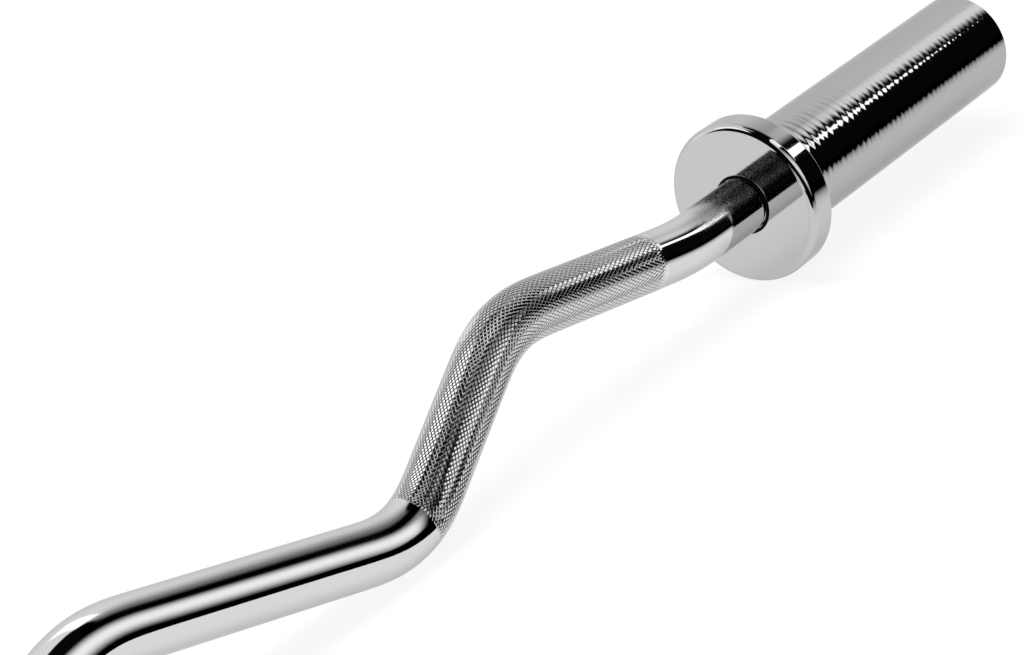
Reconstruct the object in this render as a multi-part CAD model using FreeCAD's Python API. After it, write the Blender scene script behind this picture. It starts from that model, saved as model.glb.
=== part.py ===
"""EZ curl bar: a bent steel shaft with two plate sleeves that spin on bronze bushes.

Millimetres. X runs along the common axis of the sleeves, Z is up, and the origin is the middle of
that axis. The bends of the shaft lie in one plane, which leans about X until the grip valleys touch
the floor that the collars stand on.
"""

import FreeCAD, Part

import math
import os

# Overall sizes
collar_span = 800.0
plate_length = 179.5
shaft_diameter = 25.0
sleeve_diameter = 50.0
collar_diameter = 74.0
collar_thickness = 14.0

# Bends of the shaft, from the collar towards the middle
stub_run = 46.0
outer_grip_run = 115.0
outer_grip_rise = 20.0
inner_grip_run = 90.0
inner_grip_drop = 49.6
centre_rise = 41.8
stub_bend_radius = 150.0
peak_bend_radius = 58.0
valley_bend_radius = 52.0
centre_bend_radius = 54.0

# Knurled grips: the grooves are rolled into the shaft, so the solid has their root diameter there
knurl_depth = 0.2
knurl_into_bend = 17.0
knurl_short_of_stub = 12.0

# Relief turned in the shaft under the tip of the seal
seal_relief_length = 1.3
seal_relief_depth = 0.8

# Collar
collar_front_edge_radius = 3.0
collar_back_edge_radius = 1.0
collar_face_plate = 4.0
spigot_diameter = 42.0

# Sleeve
sleeve_bore = 32.0
sleeve_end_chamfer = 1.5
end_mouth_depth = 2.5

# Bushes, washers and seal
bush_length = 42.0
bush_flange_thickness = 2.0
bush_flange_lip = 2.5
washer_thickness = 1.5
washer_wall = 4.9
seal_lip_wall = 1.0
seal_lip_reach = 0.8
seal_lip_setback = 0.6
seal_flange_thickness = 2.0

# Retaining rings
shaft_ring_thickness = 1.2
shaft_ring_groove_depth = 0.55
shaft_ring_wall = 3.0
shaft_ring_gap = 4.0
ring_lug_width = 3.4
ring_lug_length = 2.2
ring_lug_hole = 1.5
cap_ring_thickness = 1.5
cap_ring_groove_depth = 1.0
cap_ring_wall = 3.2
cap_ring_gap = 9.0

# End cap
cap_diameter = 41.6
cap_thickness = 4.0
cap_dish_diameter = 24.0
cap_dish_depth = 0.8
shaft_end_to_cap = 2.0
shaft_end_past_ring = 3.0
shaft_end_chamfer = 1.0

# Clearances
running_clearance = 0.06
ring_side_play = 0.05
axial_play = 0.12
cap_radial_clearance = 0.2
washer_radial_clearance = 0.15
recess_radial_clearance = 0.1

# Radii and places that follow
shaft_r = shaft_diameter / 2
sleeve_r = sleeve_diameter / 2
collar_r = collar_diameter / 2
bore_r = sleeve_bore / 2
spigot_r = spigot_diameter / 2
bush_bore_r = shaft_r + running_clearance
bush_flange_r = bore_r + bush_flange_lip
recess_r = bush_flange_r + recess_radial_clearance
washer_bore_r = shaft_r + washer_radial_clearance
washer_r = shaft_r + washer_wall
seal_bore_r = shaft_r + running_clearance
seal_lip_r = seal_bore_r + seal_lip_wall
shaft_groove_r = shaft_r - shaft_ring_groove_depth
shaft_ring_r = shaft_groove_r + shaft_ring_wall
cap_r = cap_diameter / 2
cap_seat_r = cap_r + cap_radial_clearance
cap_groove_r = cap_seat_r + cap_ring_groove_depth
groove_width_shaft = shaft_ring_thickness + 2 * ring_side_play
groove_width_cap = cap_ring_thickness + 2 * ring_side_play

# Stations along X on the right-hand side, outwards from the collar face
collar_face_x = collar_span / 2
collar_back_x = collar_face_x + collar_thickness
sleeve_end_x = collar_back_x + plate_length
seal_x = collar_face_x + collar_face_plate
inner_groove_x = seal_x + seal_flange_thickness + axial_play
inner_washer_x = inner_groove_x + groove_width_shaft
inner_bush_x = inner_washer_x + washer_thickness + axial_play
inner_recess_end_x = inner_bush_x + bush_flange_thickness
cap_ring_x = sleeve_end_x - end_mouth_depth - cap_ring_thickness
cap_x = cap_ring_x - cap_thickness
shaft_end_x = cap_x - shaft_end_to_cap
outer_groove_x = shaft_end_x - shaft_end_past_ring - groove_width_shaft
outer_washer_x = outer_groove_x - washer_thickness
outer_bush_end_x = outer_washer_x - axial_play
outer_recess_x = outer_bush_end_x - bush_flange_thickness

X_AXIS = FreeCAD.Vector(1, 0, 0)
ORIGIN = FreeCAD.Vector(0, 0, 0)


def revolved(points):
    """A solid turned about the X axis from a closed outline of (x, radius) points."""
    corners = [FreeCAD.Vector(x, 0, r) for x, r in points]
    outline = Part.makePolygon(corners + corners[:1])
    return Part.Face(outline).revolve(ORIGIN, X_AXIS, 360)


def ring(x0, x1, inner_r, outer_r):
    """A plain ring about the X axis."""
    return revolved([(x0, inner_r), (x1, inner_r), (x1, outer_r), (x0, outer_r)])


def mirrored(shape):
    """The same piece on the left-hand side."""
    return shape.mirror(ORIGIN, X_AXIS)


class Bender:
    """Draws a round bar in the XZ plane as a bender makes it: straight runs joined by tangent arcs."""

    def __init__(self, x, z):
        self.place = FreeCAD.Vector(x, 0, z)
        self.heading = 0.0
        self.lowest = z
        self.pieces = []

    def forward(self):
        return FreeCAD.Vector(math.cos(self.heading), 0, math.sin(self.heading))

    def run(self, length, radius):
        """A straight run along the heading."""
        self.pieces.append(Part.makeCylinder(radius, length, self.place, self.forward()))
        self.place = self.place + self.forward() * length

    def turn(self, bend_radius, angle, radius):
        """An arc that turns the heading by angle, in radians, upwards if positive."""
        side = math.copysign(1.0, angle)
        up = FreeCAD.Vector(-math.sin(self.heading), 0, math.cos(self.heading))
        centre = self.place + up * (side * bend_radius)
        section = Part.Face(Part.Wire(Part.makeCircle(radius, self.place, self.forward())))
        hinge = FreeCAD.Vector(0, -side, 0)
        self.pieces.append(section.revolve(centre, hinge, math.degrees(abs(angle))))
        self.heading += angle
        up = FreeCAD.Vector(-math.sin(self.heading), 0, math.cos(self.heading))
        self.place = centre - up * (side * bend_radius)
        if side > 0:
            self.lowest = min(self.lowest, centre.z - bend_radius)


def bent_half():
    """The right half of the shaft in its bend plane, and the depth of the valley's centre line."""
    centre_run = collar_span / 2 - stub_run - outer_grip_run - inner_grip_run
    slope_centre = math.atan2(centre_rise, centre_run)
    slope_inner = math.atan2(inner_grip_drop, inner_grip_run)
    slope_outer = math.atan2(outer_grip_rise, outer_grip_run)
    turn_valley = slope_centre + slope_inner
    turn_peak = slope_inner + slope_outer
    root_r = shaft_r - knurl_depth

    cut_centre = centre_bend_radius * math.tan(slope_centre)
    cut_valley = valley_bend_radius * math.tan(turn_valley / 2)
    cut_peak = peak_bend_radius * math.tan(turn_peak / 2)
    cut_stub = stub_bend_radius * math.tan(slope_outer / 2)
    vertex_z = outer_grip_rise - inner_grip_drop + centre_rise
    start_z = vertex_z - centre_bend_radius * (1 / math.cos(slope_centre) - 1)

    bender = Bender(0, start_z)
    bender.turn(centre_bend_radius, -slope_centre, shaft_r)
    bender.run(math.hypot(centre_run, centre_rise) - cut_centre - cut_valley, shaft_r)
    knurled_turn = knurl_into_bend / valley_bend_radius
    bender.turn(valley_bend_radius, turn_valley - knurled_turn, shaft_r)
    bender.turn(valley_bend_radius, knurled_turn, root_r)
    bender.run(math.hypot(inner_grip_run, inner_grip_drop) - cut_valley - cut_peak, root_r)
    bender.turn(peak_bend_radius, -turn_peak, root_r)
    outer_run = math.hypot(outer_grip_run, outer_grip_rise) - cut_peak - cut_stub
    bender.run(outer_run - knurl_short_of_stub, root_r)
    bender.run(knurl_short_of_stub, shaft_r)
    bender.turn(stub_bend_radius, slope_outer, shaft_r)
    bender.run(shaft_end_x - bender.place.x, shaft_r)
    half = bender.pieces[0].multiFuse(bender.pieces[1:]).removeSplitter()
    return half, -bender.lowest


def shaft():
    """One bent bar with turned grooves and chamfered ends, leaning until its valleys touch the floor."""
    half, valley_depth = bent_half()
    for groove_x in (inner_groove_x, outer_groove_x):
        half = half.cut(ring(groove_x, groove_x + groove_width_shaft, shaft_groove_r, sleeve_r))
    relief_x = collar_face_x - seal_relief_length
    relief_end_x = collar_face_x + seal_lip_setback
    relief_r = shaft_r - seal_relief_depth
    half = half.cut(revolved([
        (relief_x - seal_relief_depth, shaft_r),
        (relief_x, relief_r),
        (relief_end_x, relief_r),
        (relief_end_x, sleeve_r),
        (relief_x - seal_relief_depth, sleeve_r),
    ]))
    chamfer = revolved([
        (shaft_end_x - shaft_end_chamfer, shaft_r),
        (shaft_end_x, shaft_r - shaft_end_chamfer),
        (shaft_end_x, sleeve_r),
        (shaft_end_x - shaft_end_chamfer, sleeve_r),
    ])
    half = half.cut(chamfer)
    whole = half.fuse(mirrored(half)).removeSplitter()
    lean = math.acos(min(1.0, (collar_r - shaft_r) / valley_depth))
    whole.rotate(ORIGIN, X_AXIS, -math.degrees(lean))
    return whole


def collar():
    """The stop for the plates: a polished disc with a round front edge, bored from behind for the spigot."""
    front, back = collar_face_x, collar_back_x
    bend, edge = collar_front_edge_radius, collar_back_edge_radius
    half_turn = math.sqrt(0.5)
    front_mid = (front + bend * (1 - half_turn), collar_r - bend * (1 - half_turn))
    back_mid = (back - edge * (1 - half_turn), collar_r - edge * (1 - half_turn))

    def at(x, r):
        return FreeCAD.Vector(x, 0, r)

    outline = [
        Part.LineSegment(at(front, seal_lip_r), at(front, collar_r - bend)),
        Part.Arc(at(front, collar_r - bend), at(*front_mid), at(front + bend, collar_r)),
        Part.LineSegment(at(front + bend, collar_r), at(back - edge, collar_r)),
        Part.Arc(at(back - edge, collar_r), at(*back_mid), at(back, collar_r - edge)),
        Part.LineSegment(at(back, collar_r - edge), at(back, spigot_r)),
        Part.LineSegment(at(back, spigot_r), at(seal_x, spigot_r)),
        Part.LineSegment(at(seal_x, spigot_r), at(seal_x, seal_lip_r)),
        Part.LineSegment(at(seal_x, seal_lip_r), at(front, seal_lip_r)),
    ]
    wire = Part.Wire([curve.toShape() for curve in outline])
    return Part.Face(wire).revolve(ORIGIN, X_AXIS, 360)


def sleeve():
    """The plate tube: a spigot in the collar, a bore for the bushes, and a stepped mouth for the end cap."""
    return revolved([
        (seal_x, recess_r),
        (seal_x, spigot_r),
        (collar_back_x, spigot_r),
        (collar_back_x, sleeve_r),
        (sleeve_end_x - sleeve_end_chamfer, sleeve_r),
        (sleeve_end_x, sleeve_r - sleeve_end_chamfer),
        (sleeve_end_x, cap_seat_r),
        (cap_ring_x + groove_width_cap, cap_seat_r),
        (cap_ring_x + groove_width_cap, cap_groove_r),
        (cap_ring_x, cap_groove_r),
        (cap_ring_x, cap_seat_r),
        (cap_x, cap_seat_r),
        (cap_x, recess_r),
        (outer_recess_x, recess_r),
        (outer_recess_x, bore_r),
        (inner_recess_end_x, bore_r),
        (inner_recess_end_x, recess_r),
    ])


def dust_seal():
    """A black rubber ring behind the collar's face, with a tapered lip that reaches out round the shaft."""
    return revolved([
        (collar_face_x - seal_lip_reach, seal_bore_r),
        (seal_x + seal_flange_thickness, seal_bore_r),
        (seal_x + seal_flange_thickness, recess_r),
        (seal_x, recess_r),
        (seal_x, seal_lip_r),
        (collar_face_x + seal_lip_setback, seal_lip_r),
    ])


def inner_bush():
    """A flanged bronze bush at the collar end of the sleeve."""
    end_x = inner_bush_x + bush_length
    return revolved([
        (inner_bush_x, bush_bore_r),
        (end_x, bush_bore_r),
        (end_x, bore_r),
        (inner_recess_end_x, bore_r),
        (inner_recess_end_x, bush_flange_r),
        (inner_bush_x, bush_flange_r),
    ])


def outer_bush():
    """A flanged bronze bush at the open end of the sleeve."""
    start_x = outer_bush_end_x - bush_length
    return revolved([
        (start_x, bush_bore_r),
        (outer_bush_end_x, bush_bore_r),
        (outer_bush_end_x, bush_flange_r),
        (outer_recess_x, bush_flange_r),
        (outer_recess_x, bore_r),
        (start_x, bore_r),
    ])


def thrust_washer(x):
    """A flat steel washer between a bush flange and a retaining ring."""
    return ring(x, x + washer_thickness, washer_bore_r, washer_r)


def split_ring(x, thickness, inner_r, outer_r, gap, lugs_inwards):
    """A stamped retaining ring, open at the top, with a pierced lug on each side of the gap."""
    body = ring(x, x + thickness, inner_r, outer_r)
    reach = inner_r if lugs_inwards else outer_r
    middle = reach + (-1 if lugs_inwards else 1) * ring_lug_length / 2
    lug_height = ring_lug_length + (outer_r - inner_r)
    lug_middle = middle + (1 if lugs_inwards else -1) * (outer_r - inner_r) / 2
    holes = []
    for side in (-1, 1):
        lug_y = side * (gap / 2 + ring_lug_width / 2)
        corner = FreeCAD.Vector(x, lug_y - ring_lug_width / 2, lug_middle - lug_height / 2)
        lug = Part.makeBox(thickness, ring_lug_width, lug_height, corner)
        keep_in = ring(x, x + thickness, inner_r - ring_lug_length, outer_r)
        keep_out = ring(x, x + thickness, inner_r, outer_r + ring_lug_length)
        body = body.fuse(lug.common(keep_in if lugs_inwards else keep_out))
        hole_at = FreeCAD.Vector(x, lug_y, middle)
        holes.append(Part.makeCylinder(ring_lug_hole / 2, thickness, hole_at, X_AXIS))
    gap_height = outer_r + ring_lug_length
    opening = Part.makeBox(thickness, gap, gap_height, FreeCAD.Vector(x, -gap / 2, 0))
    return body.cut(opening).cut(holes[0].fuse(holes[1])).removeSplitter()


def shaft_ring(groove_x):
    """The external retaining ring that sits in a groove of the shaft."""
    x = groove_x + ring_side_play
    return split_ring(x, shaft_ring_thickness, shaft_groove_r, shaft_ring_r, shaft_ring_gap, False)


def cap_ring():
    """The internal retaining ring that keeps the end cap in the sleeve's mouth."""
    x = cap_ring_x + ring_side_play
    inner_r = cap_groove_r - cap_ring_wall
    return split_ring(x, cap_ring_thickness, inner_r, cap_groove_r, cap_ring_gap, True)


def end_cap():
    """The round cover in the sleeve's mouth, with a shallow dish in its face."""
    face_x = cap_x + cap_thickness
    dish_r = cap_dish_diameter / 2
    return revolved([
        (cap_x, 0),
        (cap_x, cap_r),
        (face_x, cap_r),
        (face_x, dish_r),
        (face_x - cap_dish_depth, dish_r - cap_dish_depth),
        (face_x - cap_dish_depth, 0),
    ])


def main():
    os.makedirs("parts", exist_ok=True)
    one_side = {
        "collar": collar(),
        "sleeve": sleeve(),
        "dust_seal": dust_seal(),
        "inner_shaft_ring": shaft_ring(inner_groove_x),
        "inner_thrust_washer": thrust_washer(inner_washer_x),
        "inner_bush": inner_bush(),
        "outer_bush": outer_bush(),
        "outer_thrust_washer": thrust_washer(outer_washer_x),
        "outer_shaft_ring": shaft_ring(outer_groove_x),
        "end_cap": end_cap(),
        "end_cap_ring": cap_ring(),
    }
    pieces = {"shaft": shaft()}
    for name, shape in one_side.items():
        pieces["right_" + name] = shape
        pieces["left_" + name] = mirrored(shape)
    for name, shape in pieces.items():
        print(name, "solids", len(shape.Solids), "valid", shape.isValid(), "volume", round(shape.Volume, 1))
        shape.exportStep("parts/" + name + ".step")


main()
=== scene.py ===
"""EZ curl bar: the finish of every piece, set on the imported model, with a plain studio round it."""

import math

import bpy
import numpy as np
from mathutils import Matrix, Vector


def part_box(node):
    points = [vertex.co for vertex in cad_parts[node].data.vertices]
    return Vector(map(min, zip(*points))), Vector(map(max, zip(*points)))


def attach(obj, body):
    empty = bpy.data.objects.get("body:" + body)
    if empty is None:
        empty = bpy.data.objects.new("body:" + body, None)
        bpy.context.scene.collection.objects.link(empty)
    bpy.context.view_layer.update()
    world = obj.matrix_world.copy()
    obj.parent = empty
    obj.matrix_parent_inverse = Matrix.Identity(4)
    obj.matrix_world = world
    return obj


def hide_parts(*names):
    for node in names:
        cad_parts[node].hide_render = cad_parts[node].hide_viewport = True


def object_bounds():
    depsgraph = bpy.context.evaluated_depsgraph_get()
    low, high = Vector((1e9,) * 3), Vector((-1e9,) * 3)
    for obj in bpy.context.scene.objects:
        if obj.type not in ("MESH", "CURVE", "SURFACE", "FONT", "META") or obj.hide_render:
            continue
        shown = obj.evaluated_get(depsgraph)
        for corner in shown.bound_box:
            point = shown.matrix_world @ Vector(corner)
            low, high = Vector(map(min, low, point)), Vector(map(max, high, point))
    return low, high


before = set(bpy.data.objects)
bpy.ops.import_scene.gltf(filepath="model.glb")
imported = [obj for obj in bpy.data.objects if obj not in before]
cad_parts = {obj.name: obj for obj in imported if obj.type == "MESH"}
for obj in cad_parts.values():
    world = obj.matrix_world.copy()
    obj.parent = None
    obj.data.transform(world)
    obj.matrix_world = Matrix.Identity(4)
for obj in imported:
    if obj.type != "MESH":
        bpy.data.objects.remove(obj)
cad_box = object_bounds()


# The shaft: one steel bar, 25 mm thick. It is ground and knurled while straight, pressed into its bends
# and then chromed, so the bend is the last step here too. Sizes are in millimetres.
MM = 0.001
SAME_PLACE = 0.001
SHAFT_RADIUS = 12.5
SHAFT_SIDES = 120
SHAFT_RING_STEP = 4.0
SHAFT_END_CHAMFER = 1.0
GRIP_CORE_DEPTH = 0.3
SEAL_RELIEF_LENGTH = 1.3
SEAL_RELIEF_DEPTH = 0.8
SEAL_LIP_SETBACK = 0.6
SHOULDER_STEPS = 6
RING_GROOVE_DEPTH = 0.55
RING_SIDE_PLAY = 0.05
COLLAR_FACE_X = 400.0
STUB_RUN, STUB_BEND = 46.0, 150.0
OUTER_GRIP_RUN, OUTER_GRIP_RISE, PEAK_BEND = 115.0, 20.0, 58.0
INNER_GRIP_RUN, INNER_GRIP_DROP, VALLEY_BEND = 90.0, 49.6, 52.0
CENTRE_RISE, CENTRE_BEND = 41.8, 54.0
KNURL_INTO_BEND = 17.0
KNURL_SHORT_OF_STUB = 12.0
BEND_EASE = 9.0
EASE_SAMPLES = 12
LINE_STEP = 0.15
EDGE_SUPPORT = 0.25

shaft_end_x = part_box("shaft")[1][0] / MM
collar_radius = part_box("right_collar")[1][2] / MM
centre_run = COLLAR_FACE_X - STUB_RUN - OUTER_GRIP_RUN - INNER_GRIP_RUN
slope_centre = math.atan2(CENTRE_RISE, centre_run)
slope_inner = math.atan2(INNER_GRIP_DROP, INNER_GRIP_RUN)
slope_outer = math.atan2(OUTER_GRIP_RISE, OUTER_GRIP_RUN)
turn_valley = slope_centre + slope_inner
turn_peak = slope_inner + slope_outer
cut_centre = CENTRE_BEND * math.tan(slope_centre)
cut_valley = VALLEY_BEND * math.tan(turn_valley / 2)
cut_peak = PEAK_BEND * math.tan(turn_peak / 2)
cut_stub = STUB_BEND * math.tan(slope_outer / 2)
middle_height = (OUTER_GRIP_RISE - INNER_GRIP_DROP + CENTRE_RISE
                 - CENTRE_BEND * (1 / math.cos(slope_centre) - 1))

# Each stretch of the centre line from the middle outwards: its length and its curvature, upwards positive
stretches = [
    (CENTRE_BEND * slope_centre, -1 / CENTRE_BEND),
    (math.hypot(centre_run, CENTRE_RISE) - cut_centre - cut_valley, 0.0),
    (VALLEY_BEND * turn_valley, 1 / VALLEY_BEND),
    (math.hypot(INNER_GRIP_RUN, INNER_GRIP_DROP) - cut_valley - cut_peak, 0.0),
    (PEAK_BEND * turn_peak, -1 / PEAK_BEND),
    (math.hypot(OUTER_GRIP_RUN, OUTER_GRIP_RISE) - cut_peak - cut_stub, 0.0),
    (STUB_BEND * slope_outer, 1 / STUB_BEND),
    (shaft_end_x - COLLAR_FACE_X + STUB_RUN - cut_stub, 0.0),
]
lengths = [length for length, curvature in stretches]
half_length = sum(lengths)
grip_start = sum(lengths[:3]) - KNURL_INTO_BEND
grip_end = sum(lengths[:6]) - KNURL_SHORT_OF_STUB


def centre_line(distance):
    """Place (x, z) and heading of the centre line at a distance from the middle, in the bend plane."""
    if distance < 0:
        x, z, heading = centre_line(-distance)
        return -x, z, -heading
    x, z, heading = 0.0, middle_height, 0.0
    for length, curvature in stretches:
        step = min(distance, length)
        if curvature:
            turned_to = heading + step * curvature
            x += (math.sin(turned_to) - math.sin(heading)) / curvature
            z += (math.cos(heading) - math.cos(turned_to)) / curvature
            heading = turned_to
        else:
            x += step * math.cos(heading)
            z += step * math.sin(heading)
        distance -= step
        if distance <= 0:
            break
    return x, z, heading


# The bend plane leans until the valleys touch the floor that the collars stand on
valley_distance = sum(lengths[:2]) + VALLEY_BEND * slope_centre
valley_depth = -centre_line(valley_distance)[1]
lean = math.acos((collar_radius - SHAFT_RADIUS) / valley_depth)


def eased_line(distance):
    """The centre line averaged over a short reach, because a pressed bend comes and goes gradually."""
    reach = min(BEND_EASE, half_length - distance)
    shares = [k / EASE_SAMPLES for k in range(-EASE_SAMPLES, EASE_SAMPLES + 1)]
    near = [centre_line(distance + reach * share) for share in shares]
    return [sum(values) / len(near) for values in zip(*near)]


line_at = np.linspace(0, half_length, round(half_length / LINE_STEP))
line_x, line_z, line_heading = np.array([eased_line(distance) for distance in line_at]).T


def coordinates(piece):
    """The piece's vertex places as an array."""
    flat = np.empty(len(piece.data.vertices) * 3)
    piece.data.vertices.foreach_get("co", flat)
    return flat.reshape(-1, 3)


def place_vertices(piece, places):
    """Puts the piece's vertices at these places."""
    piece.data.vertices.foreach_set("co", np.ascontiguousarray(places, dtype=np.float32).ravel())
    piece.data.update()


def press_bends(piece):
    """Bends a straight piece, drawn along X from the middle in millimetres, as the press bends the bar."""
    x, side, up = coordinates(piece).T
    heading = np.interp(np.abs(x), line_at, line_heading)
    bent_x = np.interp(np.abs(x), line_at, line_x) - up * np.sin(heading)
    bent_z = np.interp(np.abs(x), line_at, line_z) + up * np.cos(heading)
    bent_y = side * math.cos(lean) + bent_z * math.sin(lean)
    bent_up = bent_z * math.cos(lean) - side * math.sin(lean)
    place_vertices(piece, np.column_stack([np.copysign(bent_x, x), bent_y, bent_up]) * MM)


def new_piece(name, add, **settings):
    """Adds a primitive alone in the selection, and names it."""
    bpy.ops.object.select_all(action="DESELECT")
    add(**settings)
    piece = bpy.context.object
    piece.name = name
    piece.data.name = name
    return piece


def edit(piece):
    """Opens a piece in edit mode with all of it selected."""
    bpy.ops.object.select_all(action="DESELECT")
    piece.select_set(True)
    bpy.context.view_layer.objects.active = piece
    bpy.ops.object.mode_set(mode="EDIT")
    bpy.ops.mesh.select_all(action="SELECT")


def close_edit():
    """Leaves edit mode."""
    bpy.ops.object.mode_set(mode="OBJECT")


def rolled_bar(name, stations, sides):
    """A sheet with a row of vertices at each (distance, radius), rolled into a round bar along X."""
    rows = len(stations) - 1
    piece = new_piece(name, bpy.ops.mesh.primitive_grid_add,
                      x_subdivisions=rows, y_subdivisions=sides, size=1)
    rolled = []
    for x, y, z in coordinates(piece):
        distance, radius = stations[round((x + 0.5) * rows)]
        angle = 2 * math.pi * round((y + 0.5) * sides) / sides
        rolled.append((distance, radius * math.cos(angle), radius * math.sin(angle)))
    place_vertices(piece, rolled)
    edit(piece)
    bpy.ops.mesh.remove_doubles(threshold=SAME_PLACE)
    close_edit()
    return piece


def steps(start, end, spacing):
    """Evenly spaced values from start to end, both included."""
    count = max(1, round((end - start) / spacing))
    return [start + (end - start) * k / count for k in range(count + 1)]


# The stations from the middle outwards: smooth run, the grip's core, stub, the relief under the seal's lip,
# the grooves of the retaining rings and the end chamfer
core_radius = SHAFT_RADIUS - GRIP_CORE_DEPTH
half_stations = [(d, SHAFT_RADIUS) for d in steps(0, grip_start, SHAFT_RING_STEP)]
half_stations += [(d, core_radius) for d in steps(grip_start, grip_end, SHAFT_RING_STEP)]
collar_distance = half_length - shaft_end_x + COLLAR_FACE_X
shoulder_start = collar_distance - SEAL_RELIEF_LENGTH - SEAL_RELIEF_DEPTH
stub_rings = steps(grip_end, shoulder_start - EDGE_SUPPORT, SHAFT_RING_STEP)
half_stations += [(d, SHAFT_RADIUS) for d in stub_rings]
half_stations.append((shoulder_start, SHAFT_RADIUS))
for k in range(1, SHOULDER_STEPS + 1):
    turned = 0.5 * math.pi * k / SHOULDER_STEPS
    half_stations.append((shoulder_start + SEAL_RELIEF_DEPTH * math.sin(turned),
                          SHAFT_RADIUS - SEAL_RELIEF_DEPTH * (1 - math.cos(turned))))
smooth_from = collar_distance + SEAL_LIP_SETBACK
half_stations.append((smooth_from, SHAFT_RADIUS - SEAL_RELIEF_DEPTH))
for ring_name in ("right_inner_shaft_ring", "right_outer_shaft_ring"):
    ring_low, ring_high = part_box(ring_name)
    ring_sides = (ring_low[0] / MM - RING_SIDE_PLAY, ring_high[0] / MM + RING_SIDE_PLAY)
    groove_ends = [half_length - shaft_end_x + x for x in ring_sides]
    half_stations += [(d, SHAFT_RADIUS) for d in steps(smooth_from, groove_ends[0], SHAFT_RING_STEP)]
    half_stations += [(d, SHAFT_RADIUS - RING_GROOVE_DEPTH) for d in groove_ends]
    smooth_from = groove_ends[1]
chamfer_start = half_length - SHAFT_END_CHAMFER
half_stations += [(smooth_from, SHAFT_RADIUS), (chamfer_start, SHAFT_RADIUS)]
half_stations += [(half_length, SHAFT_RADIUS - SHAFT_END_CHAMFER)]
all_stations = [(-d, r) for d, r in reversed(half_stations[1:])] + half_stations

# The bar is rolled, closed at both ends and pressed into its bends
shaft = rolled_bar("bent_shaft", all_stations, SHAFT_SIDES)
edit(shaft)
bpy.ops.mesh.select_all(action="DESELECT")
bpy.ops.mesh.select_non_manifold(extend=False)
bpy.ops.mesh.edge_face_add()
bpy.ops.mesh.select_all(action="SELECT")
bpy.ops.mesh.normals_make_consistent(inside=False)
close_edit()
press_bends(shaft)
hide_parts("shaft")
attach(shaft, "shaft")


def linear(hex_colour):
    """A colour written as sRGB hex, as the linear RGBA that the shaders take."""
    channels = [int(hex_colour[k:k + 2], 16) / 255 for k in (1, 3, 5)]
    return [c / 12.92 if c <= 0.04045 else ((c + 0.055) / 1.055) ** 2.4 for c in channels] + [1.0]


def add_node(tree, kind, settings=None, **inputs):
    """Adds a node with its settings. An input is a value or another node's output. It is named for its
    socket, with double underscores for spaces, or for the socket's number after one underscore."""
    node = tree.nodes.new(kind)
    for name, value in (settings or {}).items():
        setattr(node, name, value)
    for name, value in inputs.items():
        key = int(name[1:]) if name[1:].isdigit() else name.replace("__", " ")
        socket = node.inputs[key]
        if isinstance(value, bpy.types.NodeSocket):
            tree.links.new(value, socket)
        else:
            socket.default_value = value
    return node


def new_material(name):
    """A bare material with its node tree and Principled shader."""
    material = bpy.data.materials.new(name)
    material.use_nodes = True
    tree = material.node_tree
    return material, tree, tree.nodes["Principled BSDF"]


def new_metal(name, colour):
    """A bare metal of this colour."""
    material, tree, shader = new_material(name)
    shader.inputs["Metallic"].default_value = 1.0
    shader.inputs["Base Color"].default_value = linear(colour)
    return material, tree, shader


def new_chrome(name, colour):
    """Chrome plating of this colour, which stays a little grey where it is seen at a flat angle."""
    material, tree, shader = new_metal(name, colour)
    shader.inputs["Specular Tint"].default_value = linear("#DCDCDC")
    return material, tree, shader


def smears(tree, where, size, clearest, dullest):
    """A roughness that drifts between two values, in wiped smears of a size in millimetres."""
    cloud = add_node(tree, "ShaderNodeTexNoise", Vector=where, Scale=1 / (size * MM), Detail=3.0)
    drift = add_node(tree, "ShaderNodeMapRange", Value=cloud.outputs["Fac"],
                     To__Min=clearest, To__Max=dullest)
    return drift.outputs["Result"]


CRISP_ANGLE = math.radians(30)


def smooth(piece, angle=CRISP_ANGLE):
    """Smooth shading, with edges sharper than the angle left crisp."""
    bpy.ops.object.select_all(action="DESELECT")
    piece.select_set(True)
    bpy.context.view_layer.objects.active = piece
    bpy.ops.object.shade_smooth_by_angle(angle=angle)


# Bright chrome over a ground bar: a clear mirror with wiped smears, and a faint waviness that the grinding
# belt left
SHAFT_SMEAR = 18.0
BELT_WAVE = 6.0
chrome_bar, tree, shader = new_chrome("bright_chrome_on_ground_bar", "#D4D4D5")
where = add_node(tree, "ShaderNodeTexCoord").outputs["Object"]
wiped = smears(tree, where, SHAFT_SMEAR, 0.03, 0.075)
belt = add_node(tree, "ShaderNodeTexNoise", Vector=where, Scale=1 / (BELT_WAVE * MM), Detail=1.0)
ripple = add_node(tree, "ShaderNodeBump", Height=belt.outputs["Fac"], Strength=0.2, Distance=0.02 * MM)
tree.links.new(ripple.outputs["Normal"], shader.inputs["Normal"])

# Close to the collars, where it is handled least, a fine grey haze lies on the bar's upper side. Its real
# grains are too fine to show, so they are drawn coarser.
HAZE_FROM, HAZE_FULL = 350.0, 366.0
HAZE_LOW, HAZE_HIGH = 5.5, 8.5
HAZE_GRAIN = 0.8
place = add_node(tree, "ShaderNodeSeparateXYZ", Vector=where)
distance = add_node(tree, "ShaderNodeMath", {"operation": "ABSOLUTE"}, _0=place.outputs["X"])
near_collar = add_node(tree, "ShaderNodeMapRange", {"interpolation_type": "SMOOTHSTEP"},
                       Value=distance.outputs[0], From__Min=HAZE_FROM * MM, From__Max=HAZE_FULL * MM)
on_top = add_node(tree, "ShaderNodeMapRange", Value=place.outputs["Z"],
                  From__Min=HAZE_LOW * MM, From__Max=HAZE_HIGH * MM)
hazy = add_node(tree, "ShaderNodeMath", {"operation": "MULTIPLY"},
                _0=near_collar.outputs["Result"], _1=on_top.outputs["Result"])
grains = add_node(tree, "ShaderNodeTexNoise", Vector=where, Scale=1 / (HAZE_GRAIN * MM),
                  Detail=3.0, Roughness=0.6)
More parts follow.
